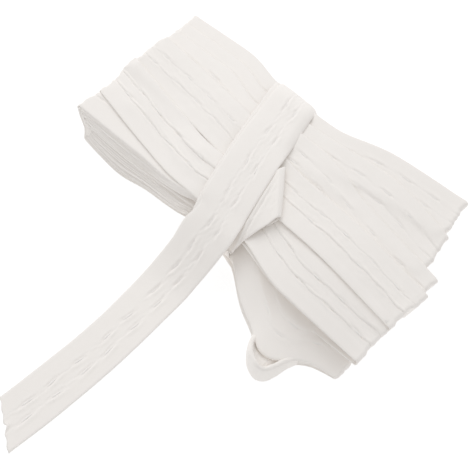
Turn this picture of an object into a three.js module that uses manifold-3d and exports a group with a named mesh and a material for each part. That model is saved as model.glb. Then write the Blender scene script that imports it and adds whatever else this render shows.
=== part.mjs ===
// A flat hand-wound hank of narrow curtain heading tape, tied round its waist with its own end.
// Millimetres, +Z up. X runs along the hank, -Y is the near side, where the loose end lies.
// The origin is on the resting surface, under the middle of the whole outline.
import * as THREE from 'three';
import { mergeVertices } from 'three/addons/utils/BufferGeometryUtils.js';
import Module from 'manifold-3d';

const wasm = await Module();
wasm.setup();

// Driving dimensions of the tape
const TAPE_WIDTH = 25.4;
const SHEET_THICKNESS = 1.2;
const CLEARANCE = 0.45;

// Where the turns of the hank are given their places along X
const LEFT_BELLY_X = -55;
const WAIST_LEFT_X = -27;
const WAIST_RIGHT_X = 14;
const RIGHT_BELLY_X = 50;

// The hank is lifted off the surface at its waist, where the wrap passes under it
const WAIST_LIFT = 2.6;
const LIFT_REACH = 24;

// The flattened bend in which a turn goes over its end
const BEND_REACH = 7;
const BEND_POWER = 2.5;
const BEND_STATIONS = [0, 0.04, 0.16, 0.4, 0.7, 1];
const BODY_STATIONS = 17;
const BEND_TIP_SHARE = 0.06;

// The softened edges of a turn's section, at most a share of its height
const EDGE_ROUND = 1.1;
const EDGE_ROUND_SHARE = 0.2;

// Soft unevenness of the turns' edges
const WAVE_HEIGHT = 0.35;
const WAVE_LENGTH = 47;
const WAVE_PHASE = 1.9;
const SWAY_SIDE = 0.5;
const SWAY_LENGTH = 67;
const SWAY_PHASE = 2.7;

// One row for each group of turns, from the lowest to the highest. y is the middle of the turn and z its top,
// at the left end, the left belly, the waist, the right belly and the right end. lean is how far the near
// selvedge lies below the far one.
const COURSE_COLUMNS = [
  'name', 'xLeft', 'xRight',
  'yLeft', 'yLeftBelly', 'yWaistLeft', 'yWaistRight', 'yRightBelly', 'yRight',
  'zLeft', 'zLeftBelly', 'zWaist', 'zRightBelly', 'zRight',
  'leanLeft', 'leanRight',
];
const COURSES = [
  ['slack', -92, 92.5, 43, 41, 45.5, 33, 11, 18.5, 6.5, 7, 11, 6.5, 4, 1, 2],
  ['low', -97, 95, 46, 43.5, 39, 36, 26.5, 22, 13, 14, 16.5, 12, 8.5, 1.5, 3],
  ['side', -102, 96.3, 50.2, 46.5, 43, 42, 31.7, 27, 22, 22, 23, 19.5, 14, 2, 7.5],
  ['under', -99, 97, 62.7, 52, 44, 43.3, 50, 48, 23.5, 24.5, 24.8, 23.8, 17.5, 1.5, 1],
  ['fan', -97, 97.5, 77.6, 61.5, 50.5, 50, 55, 52, 25, 26.2, 27.4, 26, 18.5, 1.5, 1],
  ['far', -94, 90, 106, 104.5, 95.2, 95.2, 101.8, 104.3, 25, 26.2, 26, 26, 23, 0, 0],
  ['upper', -95, 91.2, 98.5, 96.5, 88, 88, 96, 84.5, 25.6, 27, 27.6, 26.8, 21.6, 0, 0],
  ['cross', -96, 98.2, 83.5, 67, 57.5, 57.5, 56.6, 49.7, 26, 27.8, 28.8, 27.4, 19.6, 1, 1.5],
  ['middle', -96, 100.4, 91, 88, 79, 79, 83, 63, 26, 27.8, 28.6, 27.4, 20.8, 0, 0],
  ['top', -97.5, 99.8, 84.5, 77.5, 68.5, 68.5, 67.5, 59.5, 27, 28.8, 30.2, 28.6, 21.8, 0.5, 0.5],
].map(named(COURSE_COLUMNS));

// The slack loop that stands out of the near side, one row for each place along it: plan, then the reach
// of its wall above the surface and how far its upper edge leans outwards
const LOOP_THICKNESS = 1.6;
const LOOP_STEPS = 26;
const LOOP = [
  [45.5, 9, 8, 0.5],
  [46, 0, 10.5, 1.2],
  [48, -8, 12, 2],
  [52, -14.5, 12.5, 2.2],
  [58.5, -17.6, 11, 2],
  [65, -14.5, 9, 1.6],
  [69, -6.5, 7, 1],
  [72, 4, 6, 0.5],
].map(named(['x', 'y', 'height', 'lean']));

// Outline of the wrap round the waist, from the far lower corner over the top to the near lower corner
const WRAP_OUTLINE = [
  [106, 0.7],
  [110.3, 4],
  [111.8, 11],
  [111.9, 18.5],
  [110.3, 25.6],
  [104.3, 29.5],
  [91, 31.4],
  [74, 32.2],
  [60, 31.8],
  [46, 30.2],
  [34, 27.4],
  [25.5, 22.4],
  [21, 15.8],
  [21.4, 8.8],
  [25.5, 3],
  [31, 0.7],
].map(named(['y', 'z']));
const WRAP_STEPS = 72;
const WRAP_SHOULDER_Z = 8;

// How far the under turn of the wrap lies beside the top one, at the far and the near edge
const UNDER_WRAP_SHIFT_FAR = -3.4;
const UNDER_WRAP_SHIFT_NEAR = -0.4;

// The wrap crosses the waist on a slant: its middle at the far and the near edge
const WRAP_FAR = { x: -12.6, y: 109 };
const WRAP_NEAR = { x: 0.2, y: 20 };
const WRAP_OVERRUN = 0.05;

// The corner where the last turn is folded over: its right edge and how far it stands over the wrap's outline
const FLAP_LEFT_X = -4;
const FLAP_DEPTH = 9;
const FLAP_LOWEST_Z = 4;
const FLAP_EDGE_ROUND = 0.7;
const FLAP = [
  [70.5, 8.6, -0.5],
  [66, 11.7, -0.1],
  [58, 17.1, -0.1],
  [50, 22.5, -0.1],
  [46.5, 24.9, -0.15],
  [44.5, 24.2, -0.4],
  [38, 21.4, -0.2],
  [31, 18.5, -0.2],
  [25, 16, -0.3],
  [21.5, 14.5, -0.5],
].map(named(['y', 'right', 'rise']));

// The loose end over the wrap, where it follows the wrap's outline from near the surface on the far side
const LOOSE_START_Z = 1.6;
const LEAVE_WRAP_Y = 33;
const LOOSE_WIDTH_ON_WRAP = 27;
const LOOSE_SHIFT_ON_WRAP = 0.9;

// The loose end after it leaves the wrap, one row for each place along its middle. skew is how far the right
// selvedge runs ahead of the left one, which makes the slanting cut.
const LOOSE_END = [
  [1.4, 26, 25.5, 26.6, 0],
  [0.7, 18.3, 19.2, 26, 0],
  [-1.2, 9.5, 11.2, 25.6, 0],
  [-3.2, 2, 5.6, 25.4, 0],
  [-4.8, -6, 2.2, 25.4, 0],
  [-5.8, -14, 0.9, 25.2, 0],
  [-6.3, -24, 0.6, 25, 0],
  [-7, -40, 0.6, 24.8, 0],
  [-8.7, -60, 0.6, 25, 0],
  [-11, -78, 0.6, 25.4, 0],
  [-13.4, -95, 0.6, 25.4, 4.5],
  [-15.9, -110.2, 0.6, 25.2, 14],
].map(named(['x', 'y', 'z', 'width', 'skew']));
const LOOSE_STEPS = 84;
const LOOSE_TROUGH = 0.15;

// Moves the whole to the middle of its own outline
const MIDDLE_SHIFT = { x: 0.8, y: 0.2 };
const MERGE_DISTANCE = 1e-4;

// Turns rows of a table into objects with the columns' names
function named(columns) {
  return (row) => Object.fromEntries(columns.map((column, i) => [column, row[i]]));
}

// A smooth function through places that rise, without overshoot between them
function smoothThrough(places, values) {
  const slopes = places.slice(1).map((p, i) => (values[i + 1] - values[i]) / (p - places[i]));
  const tangents = values.map((_, i) => {
    if (i === 0) return slopes[0];
    if (i === values.length - 1) return slopes[i - 1];
    const [before, after] = [slopes[i - 1], slopes[i]];
    return before * after <= 0 ? 0 : (2 * before * after) / (before + after);
  });
  return (at) => {
    let i = 0;
    while (i < places.length - 2 && at > places[i + 1]) i += 1;
    const span = places[i + 1] - places[i];
    const t = THREE.MathUtils.clamp((at - places[i]) / span, 0, 1);
    const rise = t * t * (3 - 2 * t);
    const lead = t * (1 - t) * (1 - t);
    const tail = t * t * (t - 1);
    const swing = span * (lead * tangents[i] + tail * tangents[i + 1]);
    return values[i] * (1 - rise) + values[i + 1] * rise + swing;
  };
}

// A closed body through rings of points, each ring with the same count
function loft(rings) {
  const count = rings[0].length;
  const middle = (ring) => ring.reduce((sum, p) => sum.add(p), new THREE.Vector3()).divideScalar(count);
  const points = [...rings.flat(), middle(rings[0]), middle(rings.at(-1))];
  const firstCap = points.length - 2;
  const lastCap = points.length - 1;
  const index = [];
  for (let i = 0; i < rings.length - 1; i += 1) {
    for (let k = 0; k < count; k += 1) {
      const a = i * count + k;
      const b = i * count + ((k + 1) % count);
      index.push(a, b, a + count, b, b + count, a + count);
    }
  }
  const last = (rings.length - 1) * count;
  for (let k = 0; k < count; k += 1) {
    const next = (k + 1) % count;
    index.push(firstCap, next, k);
    index.push(lastCap, last + k, last + next);
  }
  const geometry = new THREE.BufferGeometry().setFromPoints(points);
  geometry.setIndex(index);
  if (signedVolume(geometry) < 0) {
    for (let i = 0; i < index.length; i += 3) [index[i], index[i + 1]] = [index[i + 1], index[i]];
    geometry.setIndex(index);
  }
  return mergeVertices(geometry, MERGE_DISTANCE);
}

function signedVolume(geometry) {
  const position = geometry.getAttribute('position');
  const index = geometry.getIndex();
  const corner = (i) => new THREE.Vector3().fromBufferAttribute(position, index.getX(i));
  let volume = 0;
  for (let i = 0; i < index.count; i += 3) {
    volume += corner(i).dot(corner(i + 1).cross(corner(i + 2))) / 6;
  }
  return volume;
}

function toManifold(geometry) {
  const vertProperties = new Float32Array(geometry.getAttribute('position').array);
  const triVerts = new Uint32Array(geometry.getIndex().array);
  const mesh = new wasm.Mesh({ numProp: 3, vertProperties, triVerts });
  mesh.merge();
  return new wasm.Manifold(mesh);
}

function fromManifold(solid) {
  const { vertProperties, triVerts } = solid.getMesh();
  const geometry = new THREE.BufferGeometry();
  geometry.setAttribute('position', new THREE.BufferAttribute(vertProperties, 3));
  geometry.setIndex(new THREE.BufferAttribute(triVerts, 1));
  return geometry;
}

// How far the underside is lifted at a place along X
function lift(x) {
  const gap = Math.max(WAIST_LEFT_X - x, x - WAIST_RIGHT_X, 0);
  const share = THREE.MathUtils.clamp(1 - gap / LIFT_REACH, 0, 1);
  return WAIST_LIFT * share * share * (3 - 2 * share);
}

// Places along a turn, closer together in the bends at its two ends
function courseStations(course) {
  const left = BEND_STATIONS.map((share) => course.xLeft + share * BEND_REACH);
  const right = BEND_STATIONS.map((share) => course.xRight - share * BEND_REACH).reverse();
  const from = left.at(-1);
  const span = right[0] - from;
  const body = Array.from({ length: BODY_STATIONS }, (_, i) => from + (span * (i + 1)) / (BODY_STATIONS + 1));
  return [...left, ...body, ...right];
}

// One group of turns: a flat slab of the tape's width, bent over at both ends
function courseSolid(course, order) {
  const places = [course.xLeft, LEFT_BELLY_X, WAIST_LEFT_X, WAIST_RIGHT_X, RIGHT_BELLY_X, course.xRight];
  const middle = smoothThrough(places, [
    course.yLeft, course.yLeftBelly, course.yWaistLeft, course.yWaistRight, course.yRightBelly, course.yRight,
  ]);
  const top = smoothThrough(places, [
    course.zLeft, course.zLeftBelly, course.zWaist, course.zWaist, course.zRightBelly, course.zRight,
  ]);
  const lean = smoothThrough(
    [course.xLeft, WAIST_LEFT_X, WAIST_RIGHT_X, course.xRight],
    [course.leanLeft, 0, 0, course.leanRight],
  );
  const rings = courseStations(course).map((x) => {
    const fromEnd = Math.min(x - course.xLeft, course.xRight - x) / BEND_REACH;
    const open = 1 - Math.min(fromEnd, 1);
    const share = Math.max((1 - open ** BEND_POWER) ** (1 / BEND_POWER), BEND_TIP_SHARE);
    const wave = Math.sin((x / WAVE_LENGTH) * 2 * Math.PI + order * WAVE_PHASE);
    const sway = Math.cos((x / SWAY_LENGTH) * 2 * Math.PI + order * SWAY_PHASE);
    const high = top(x) + WAVE_HEIGHT * wave * share;
    const low = lift(x);
    const half = ((high - low) / 2) * share;
    const centre = (high + low) / 2;
    const drop = (lean(x) / 2) * share;
    return courseSection(x, middle(x) + SWAY_SIDE * sway, centre - half, centre + half, drop);
  });
  return loft(rings);
}

// The section of a turn across X, with softened edges
function courseSection(x, y, bottom, top, drop) {
  const half = TAPE_WIDTH / 2;
  const soft = Math.min(EDGE_ROUND, (top - bottom) * EDGE_ROUND_SHARE);
  const nearTop = Math.max(top - drop, bottom + 3 * soft);
  return [
    [-half + soft, bottom],
    [half - soft, bottom],
    [half, bottom + soft],
    [half, top + drop - soft],
    [half - soft, top + drop],
    [0, (top + drop + nearTop) / 2],
    [-half + soft, nearTop],
    [-half, nearTop - soft],
    [-half, bottom + soft],
  ].map(([side, z]) => new THREE.Vector3(x, y + side, z));
}

// The standing wall of the slack loop
function loopSolid() {
  const curve = new THREE.CatmullRomCurve3(LOOP.map((row) => new THREE.Vector3(row.x, row.y, 0)));
  const share = LOOP.map((_, i) => i / (LOOP.length - 1));
  const height = smoothThrough(share, LOOP.map((row) => row.height));
  const lean = smoothThrough(share, LOOP.map((row) => row.lean));
  const rings = Array.from({ length: LOOP_STEPS + 1 }, (_, i) => {
    const t = i / LOOP_STEPS;
    const foot = curve.getPoint(t);
    const along = curve.getTangent(t);
    const out = new THREE.Vector3(along.y, -along.x, 0).normalize();
    const half = LOOP_THICKNESS / 2;
    return [
      [-half, 0],
      [half, 0],
      [half + lean(t), height(t)],
      [-half + lean(t), height(t)],
    ].map(([aside, z]) => foot.clone().addScaledVector(out, -aside).setZ(z));
  });
  return loft(rings);
}

// The middle of the wrap across the waist, along Y
function wrapMiddle(y) {
  const reach = (WRAP_FAR.y - y) / (WRAP_FAR.y - WRAP_NEAR.y);
  const share = THREE.MathUtils.clamp(reach, -WRAP_OVERRUN, 1 + WRAP_OVERRUN);
  return THREE.MathUtils.lerp(WRAP_FAR.x, WRAP_NEAR.x, share);
}

// The wrap's outline as an evenly stepped list of points from the far to the near lower corner
function wrapOutline() {
  const curve = new THREE.CatmullRomCurve3(WRAP_OUTLINE.map((row) => new THREE.Vector3(0, row.y, row.z)));
  return curve.getSpacedPoints(WRAP_STEPS);
}

// The under turn of the wrap, filled with the turns that it holds together
function wrapSolid() {
  const outline = wrapOutline();
  const shift = (y) => THREE.MathUtils.mapLinear(
    THREE.MathUtils.clamp(y, WRAP_NEAR.y, WRAP_FAR.y),
    WRAP_NEAR.y,
    WRAP_FAR.y,
    UNDER_WRAP_SHIFT_NEAR,
    UNDER_WRAP_SHIFT_FAR,
  );
  const ring = (side) => outline.map((p) => (
    new THREE.Vector3(wrapMiddle(p.y) + shift(p.y) + side * (TAPE_WIDTH / 2), p.y, p.z)
  ));
  return loft([ring(-1), ring(-1 / 3), ring(1 / 3), ring(1)]);
}

// Height of the wrap's outline over a place along Y
function wrapHeight() {
  const upper = wrapOutline().filter((p) => p.z > WRAP_SHOULDER_Z).sort((a, b) => a.y - b.y);
  return smoothThrough(upper.map((p) => p.y), upper.map((p) => p.z));
}

// The folded-over corner of the last turn, lying beside the wrap
function flapSolid() {
  const height = wrapHeight();
  const rings = FLAP.map((row) => {
    const top = height(row.y) + row.rise;
    const bottom = Math.max(top - FLAP_DEPTH, FLAP_LOWEST_Z);
    return [
      [FLAP_LEFT_X, bottom],
      [row.right, bottom],
      [row.right, top - FLAP_EDGE_ROUND],
      [row.right - FLAP_EDGE_ROUND, top],
      [FLAP_LEFT_X, top],
    ].map(([x, z]) => new THREE.Vector3(x, row.y, z));
  });
  return loft(rings);
}

// The path of the loose end: over the wrap from the far lower corner, then down to the surface
function looseEndStations() {
  const standOff = CLEARANCE + SHEET_THICKNESS / 2;
  const outline = wrapOutline();
  const onWrap = outline.map((p, i) => {
    const before = outline[Math.max(i - 1, 0)];
    const after = outline[Math.min(i + 1, outline.length - 1)];
    const along = after.clone().sub(before).normalize();
    return { y: p.y + along.z * standOff, z: p.z - along.y * standOff };
  }).filter((p) => p.z > LOOSE_START_Z && p.y > LEAVE_WRAP_Y);
  const wrapRows = onWrap.map((p) => ({
    ...p, x: wrapMiddle(p.y) + LOOSE_SHIFT_ON_WRAP, width: LOOSE_WIDTH_ON_WRAP, skew: 0, across: 0,
  }));
  const freeRows = LOOSE_END.map((row, i) => {
    const before = LOOSE_END[Math.max(i - 1, 0)];
    const after = LOOSE_END[Math.min(i + 1, LOOSE_END.length - 1)];
    return { ...row, across: Math.atan2(after.x - before.x, before.y - after.y) };
  });
  return [...wrapRows, ...freeRows];
}

// The loose end: a sheet of the tape's width swept along its path
function looseEndSolid() {
  const rows = looseEndStations();
  const path = new THREE.CatmullRomCurve3(rows.map((row) => new THREE.Vector3(row.x, row.y, row.z)));
  const lengths = rows.map((row, i) => {
    if (i === 0) return 0;
    const from = rows[i - 1];
    return Math.hypot(row.x - from.x, row.y - from.y, row.z - from.z);
  });
  const reach = lengths.reduce((list, step) => [...list, (list.at(-1) ?? 0) + step], []);
  const width = smoothThrough(reach, rows.map((row) => row.width));
  const skew = smoothThrough(reach, rows.map((row) => row.skew));
  const across = smoothThrough(reach, rows.map((row) => row.across));
  const rings = Array.from({ length: LOOSE_STEPS + 1 }, (_, i) => {
    const t = i / LOOSE_STEPS;
    const at = t * reach.at(-1);
    const along = path.getTangentAt(t);
    const side = new THREE.Vector3(Math.cos(across(at)), Math.sin(across(at)), 0);
    const up = along.clone().cross(side).normalize();
    const centre = path.getPointAt(t);
    const thick = SHEET_THICKNESS / 2;
    centre.z = Math.max(centre.z, thick);
    const half = width(at) / 2;
    const section = [
      [-half, -thick],
      [0, -thick],
      [half, -thick],
      [half, thick],
      [0, thick - LOOSE_TROUGH],
      [-half, thick],
    ];
    return section.map(([aside, rise]) => centre.clone()
      .addScaledVector(side, aside)
      .addScaledVector(up, rise)
      .addScaledVector(along, (aside / half) * (skew(at) / 2)));
  });
  return loft(rings);
}

function meshOf(name, geometry, colour, roughness) {
  geometry.translate(MIDDLE_SHIFT.x, MIDDLE_SHIFT.y, 0);
  const material = new THREE.MeshStandardMaterial({ color: colour, roughness, metalness: 0 });
  const mesh = new THREE.Mesh(geometry, material);
  mesh.name = name;
  return mesh;
}

function woundHank() {
  const turns = COURSES.map((course, order) => toManifold(courseSolid(course, order)));
  const twists = [wrapSolid(), flapSolid(), loopSolid()].map(toManifold);
  const whole = [...turns, ...twists].reduce((sum, piece) => sum.add(piece));
  return fromManifold(whole);
}

const group = new THREE.Group();
group.add(meshOf('wound_hank', woundHank(), 0xe9e5e0, 0.9));
group.add(meshOf('loose_end', looseEndSolid(), 0xece8e3, 0.9));

export default group;
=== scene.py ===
"""A flat hand-wound hank of narrow curtain heading tape, tied round its waist with its own end."""
import math

import bpy
import numpy as np
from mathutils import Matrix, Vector


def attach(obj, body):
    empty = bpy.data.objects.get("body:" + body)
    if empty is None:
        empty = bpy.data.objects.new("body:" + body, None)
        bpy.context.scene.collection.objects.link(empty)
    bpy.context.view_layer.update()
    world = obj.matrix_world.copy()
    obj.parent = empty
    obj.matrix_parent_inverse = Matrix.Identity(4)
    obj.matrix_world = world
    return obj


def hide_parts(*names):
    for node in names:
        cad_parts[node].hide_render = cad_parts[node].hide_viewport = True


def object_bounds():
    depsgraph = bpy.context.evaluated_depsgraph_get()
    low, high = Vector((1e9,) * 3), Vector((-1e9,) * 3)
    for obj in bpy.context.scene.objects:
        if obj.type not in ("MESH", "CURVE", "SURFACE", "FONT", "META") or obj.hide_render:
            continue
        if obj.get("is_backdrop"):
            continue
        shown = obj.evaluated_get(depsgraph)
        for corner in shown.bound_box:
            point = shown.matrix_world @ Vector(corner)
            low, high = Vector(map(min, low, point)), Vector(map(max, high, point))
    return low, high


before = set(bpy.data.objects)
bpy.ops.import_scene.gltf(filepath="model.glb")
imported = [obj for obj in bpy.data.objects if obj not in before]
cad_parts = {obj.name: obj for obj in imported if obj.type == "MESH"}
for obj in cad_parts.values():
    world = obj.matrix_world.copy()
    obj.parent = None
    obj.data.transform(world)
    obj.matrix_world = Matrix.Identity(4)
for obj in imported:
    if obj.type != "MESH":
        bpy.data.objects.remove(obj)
cad_low, cad_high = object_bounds()

# Lengths are in millimetres up to place(), which moves them to the row frame in metres
MM = 0.001
MIDDLE_SHIFT = np.array([0.8, 0.2, 0.0])

# The tape: its width, the thickness of its cloth, the places of its two drawcords counted from its middle, how
# far apart they pucker it and how far a pucker strays
TAPE_WIDTH = 25.4
HALF_WIDTH = TAPE_WIDTH / 2
CLOTH = 0.72
CORDS = (-2.2, 4.2)
PUCKER_PERIOD = 17.6
PUCKER_STRAY = 1.6

# The slits in which a drawcord comes to the surface: how far those of the two cords are staggered along the
# tape, how far one strays, how much it slants, half its length and by how much that varies
SLIT_STAGGER = 2.2
SLIT_STRAY = 1.4
SLIT_SLANT = 0.14
SLIT_LENGTH = 3.9
SLIT_VARIES = 0.8
SLIT_DEPTH = 0.5

# The bare length of cord in a slit: its radius, its middle over that of the cloth, and its share of the slit
BARE_CORD_RADIUS = 0.36
BARE_CORD_LIFT = CLOTH / 2 - 0.04
BARE_CORD_SHARE = 0.72

# The ridge over a drawcord and the groove beside it: height, place beside the cord and half width
CORD_RIDGE = (0.2, 0.35, 0.5)
CORD_GROOVE = (0.2, 0.4, 0.36)
POCKET_DIP = 0.08

# The lowest height for the middle of a cloth on the surface, and the height of a place without cloth
ON_SURFACE = CLOTH / 2 + 0.03
NO_CLOTH = -50.0

# Where the turns of the hank are given their places along X
LEFT_BELLY_X = -55.0
WAIST_LEFT_X = -27.0
WAIST_RIGHT_X = 14.0
RIGHT_BELLY_X = 50.0

# One row for each turn that shows, in the order in which they lie on each other in the left half. x is where
# a turn goes over its end and slant how far the far selvedge goes further to the right there. y is the middle
# of the turn and z its top, at the left end, the left belly, the waist, the right belly and the right end.
# lean is how far the near selvedge lies below the far one, low the height of the lower pass, sink how far the
# turn may come down on those below it, plies the number of turns inside it, cells those over the tape's width,
# cord how strongly its drawcords show at both ends, wave how uneven it is and phase where its waves begin.
COURSE_COLUMNS = (
    "name", "x_left", "x_right", "slant_left", "slant_right",
    "y_left", "y_left_belly", "y_waist_left", "y_waist_right", "y_right_belly", "y_right",
    "z_left", "z_left_belly", "z_waist", "z_right_belly", "z_right",
    "lean_left", "lean_waist", "lean_right", "low_left", "low_right", "sink", "plies", "cells",
    "cord_left", "cord_right", "wave", "phase",
)
COURSES = (
    ("slack", -90, 92.3, 0, 0, 47.6, 47.3, 47.1, 35.2, 14, 18.3, 6.5, 7, 17.5, 11, 4.8,
     1, 3, 7, 0.5, 0.5, 0, 2, 26, 0.6, 0.4, 0.6, 3),
    ("low", -95, 94, 0, 0, 47.4, 43.6, 42, 41, 32.2, 30.6, 14, 14.5, 18, 15.5, 10,
     1.5, 0, 4, 8, 6, 0, 2, 28, 0.6, 0.5, 0.5, 11),
    ("below", -96.5, 96, 0, 1.5, 62, 55, 45, 40.2, 30.7, 27.6, 19.5, 20.5, 22.5, 20.2, 14.2,
     1.5, 3, 6, 4.6, 7.4, 0, 1, 24, 0.5, 0.5, 0.4, 8),
    ("edge", -98, 98, 4, 0, 50.2, 46.7, 43.4, 58, 57.5, 49, 22.6, 23, 24, 24, 17.8,
     2, 1, 1, 0.6, 4.6, 0, 10, 32, 0.9, 0.5, 0.5, 6),
    ("fan", -96, 98, 0.9, 1.5, 77.6, 64, 53, 54, 51, 44, 25, 25.4, 25.4, 24.4, 17.2,
     1.5, 0, 2.5, 3.05, 3.05, 0.8, 0, 20, 0.4, 0.4, 0.4, 2),
    ("far", -91, 90.2, 0.4, -0.6, 106, 104.5, 97, 93.2, 100.3, 102.4, 25, 26.2, 27.9, 26, 22,
     0, 0, 0, 3.9, 3.9, 0, 9, 34, 0.12, 0.2, 0.3, 9),
    ("upper", -90.9, 93.8, 0.6, -0.5, 98.5, 96.5, 88, 86, 88, 79.6, 25.6, 27, 28.8, 26.8, 22,
     0, 0, 0, 3.05, 3.05, 1.2, 0, 34, 0.15, 0.2, 0.3, 5.6),
    ("cross", -93.7, 98.6, 1.5, 0, 83.5, 72, 62, 66, 62, 54, 26, 26.6, 26.6, 26.4, 19.8,
     1, 0, 0.5, 2.2, 2.2, 0.8, 0, 32, 0.3, 0.2, 0.35, 12.5),
    ("middle", -92.6, 101.4, 2.6, 0.9, 91, 88, 79, 77.5, 68, 57.8, 26, 27.6, 28.6, 27.4, 21.4,
     0, 0, 0, 1.35, 1.35, 1.2, 0, 34, 0.18, 0.25, 0.3, 16),
    ("top", -93.4, 101.6, 2.1, 2.2, 83.5, 77.2, 71, 59.6, 55.6, 47.6, 27, 28.2, 29.2, 27.9, 21,
     0.5, 0.5, 1.5, 0.5, 0.5, 1.4, 1, 40, 0.5, 1.5, 0.3, 7.4),
    ("cover", -96.9, 97.9, 0.7, 1.2, 63.3, 51.3, 44.5, 41.2, 30.2, 26.6, 23.5, 25.2, 26, 24.4, 16.8,
     2, 4, 6.5, 3.9, 9.9, 1, 0, 40, 1.7, 1.5, 0.5, 14),
)

# How much more or less the near and the far drawcord of a turn are pulled than in the others
CORD_PULL = {"top": (1.5, 0.6)}

# How far the near side of the left half slopes outwards, in each millimetre down, and where along X
NEAR_SLOPE_X = (-102, -86, -68, -45, -27, 0)
NEAR_SLOPE = (0.15, 0.25, 0.32, 0.14, 0.06, 0)

# The order in which the same turns lie on each other in the right half
RIGHT_ORDER = ("slack", "low", "edge", "below", "fan", "cover", "far", "upper", "cross", "middle", "top")
CROSSING_X = -6.0

# Where the slack turn bulges out sideways, by how much, and how much of that its far selvedge stays behind
SLACK_BULGE_X = 59.0
SLACK_BULGE_REACH = 12.3
SLACK_BULGE = 10.2
SLACK_SPREAD = 0.45

# How far the slack turn's near selvedge droops, and where along X
SLACK_DROOP_X = (-90, -30, 14, 40, 54)
SLACK_DROOP = (0, 2, 8.5, 5.0, 0)
SLACK_DROOP_POWER = 2.5

# The fold in which a turn goes over its end: its radius, how much tighter it is for each turn inside, how far
# it slants back below and how ragged it is
FOLD_RADIUS = 1.7
FOLD_TIGHTER = 0.25
FOLD_TIGHTEST = 0.7
FOLD_SLANT = 0.30
FOLD_RAGGED = 0.45

# The turns inside a turn: how much smaller each is, how thick, how far aside it lies and how round its selvedge
PLY_PITCH = 1.05
PLY_THICKNESS = PLY_PITCH - 0.02
PLY_STEP_SIDEWAYS = 0.4
PLY_ROUNDNESS = 0.3

# How a turn is laid on those below: the gap, and how far its sag is evened out along and over the tape
LAY_GAP = 0.2
LAY_EVEN_ALONG = 2.6
LAY_EVEN_ACROSS = 1.5

# The turns inside the one on the near edge, from which each group stands out a little more
EDGE_LEDGES = (2, 5, 8)
EDGE_LEDGE = 0.15

# How deep the left end of the pile is pressed in, how high above the surface, over which reach up and down, and
# the run along X as its start and its length
END_DENT = 1.8
END_DENT_HEIGHT = 7.5
END_DENT_REACH = 5.0
END_DENT_RUN = (-84, -8)

# The slack loop on the near side, a strip that stands on its selvedge and rolls over inwards at its rim: its
# foot in plan, the height of its rim, and how far the rim leans inwards. Then the radius of the rim, that of
# the hollow inside it, and the way in which the rest of the strip goes on under the slack turn.
LOOP = (
    (46.5, 5, 5, 0), (47, -2, 7.2, 0.4), (48.6, -9, 9.8, 0.8), (52.2, -14.4, 11.6, 1.2),
    (56.6, -17.6, 11.6, 1.6), (61.2, -18.8, 10.8, 1.6), (65.2, -16.8, 9.6, 1.4), (67.6, -11.6, 8.2, 1),
    (69.2, -5.4, 6.6, 0.6), (72, 0.5, 5, 0.2),
)
LOOP_RIM = 1.0
LOOP_HOLLOW = 5.4
LOOP_INWARD = (0.12, 1.0)

# Outline of the wrap round the waist in the YZ plane, from the far lower corner over the top to the near one
WRAP_OUTLINE = (
    (107, 0.7), (111.6, 4), (113.2, 11), (113.3, 18.5), (111.7, 25.6), (105.5, 30),
    (91, 31.4), (74, 32.2), (60, 31.8), (46, 30.2), (34, 27.4), (25.5, 22.4),
    (21, 15.8), (21.4, 8.8), (25.5, 3), (31, 0.7),
)
WRAP_FAR = (-13.1, 110.0)
WRAP_NEAR = (0.2, 20.0)
UNDER_SHIFT_FAR = -1.6
UNDER_SHIFT_NEAR = -0.4

# How much nearer the right selvedge of the wrap lies than the left one where it goes over the far side, and the
# run along Y as its start and its length
WRAP_ASLANT = 2.6
WRAP_ASLANT_RUN = (80, 24)

# The loose end: how it lies on the wrap, and its rows after it leaves the wrap. skew is how far the right
# selvedge runs ahead of the left one.
LOOSE_STAND_OFF = 0.62
LOOSE_SHIFT_ON_WRAP = 0.9
LOOSE_WIDTH_ON_WRAP = 26.4
LOOSE_NARROWER = 1.6
LOOSE_NARROWER_RUN = (70, 40)
LOOSE_PHASE = 4.0
LOOSE_SLIT = 0.85
LEAVE_WRAP_Y = 33.0

# How far the right selvedge of the wrap's top pass bends down to the turns beside it
BAND_DROOP = 1.7

# Where the drawcords pucker the loose end, along it from the far lower corner of the wrap
LOOSE_PUCKERS = (3, 22, 41, 60.3, 81, 100.5, 119, 134, 149, 165, 182, 199.5, 216, 233, 249.5)
LOOSE_COLUMNS = ("x", "y", "z", "width", "skew")
LOOSE_END = (
    (0.6, 26, 25.4, 27.2, 0), (-1.5, 18.3, 19.2, 28, 0), (-2.8, 9.5, 11.2, 26.4, 0),
    (-4.2, 2, 5.6, 26, 0), (-5, -6, 2.2, 25.6, 0), (-5.5, -14, 0.9, 25.2, 0),
    (-5.9, -24, 0.6, 24.8, 0), (-6.5, -40, 0.6, 24.6, 0), (-8.2, -60, 0.6, 24.8, 0),
    (-10.6, -78, 0.6, 25.2, 0), (-13.1, -95, 0.6, 25.4, 4.5), (-16.1, -112, 0.6, 25.4, 14),
)

# Where the cut end of the tail is nicked, how far it curls up there and how deep the nick is
CUT_NOTCH = 1.5
CUT_CURL = 1.1
CUT_DEPTH = 1.2

# The corner where the last turn is folded over, beside the wrap: its fold line in plan, the way in which it
# goes back, how far below the wrap's outline it lies, and the section of the fold as distance and height
FOLD_START = np.array([9.6, 69.1])
FOLD_END = np.array([24.9, 46.5])
FOLD_AWAY = np.array([-11.3, -27.2])
FOLD_LOWEST_Y = 20.5
FOLD_BELOW = 0.75
FOLD_SECTION = (
    (8, -1.7), (5, -1.8), (3, -1.85), (1.6, -1.8), (0.7, -1.55),
    (0.15, -1.05), (0, -0.45), (0.2, 0.2), (0.75, 0.72),
)

# The camera of the photograph
CAMERA_AZIMUTH = 39.0
CAMERA_ELEVATION = 60.0
CAMERA_TARGET = (10.5, 28.5, 20.0)
CAMERA_DISTANCE = 700.0
FOCAL_PIXELS = 1420.0
IMAGE_SIDE = 470.0
SENSOR = 36.0

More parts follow.
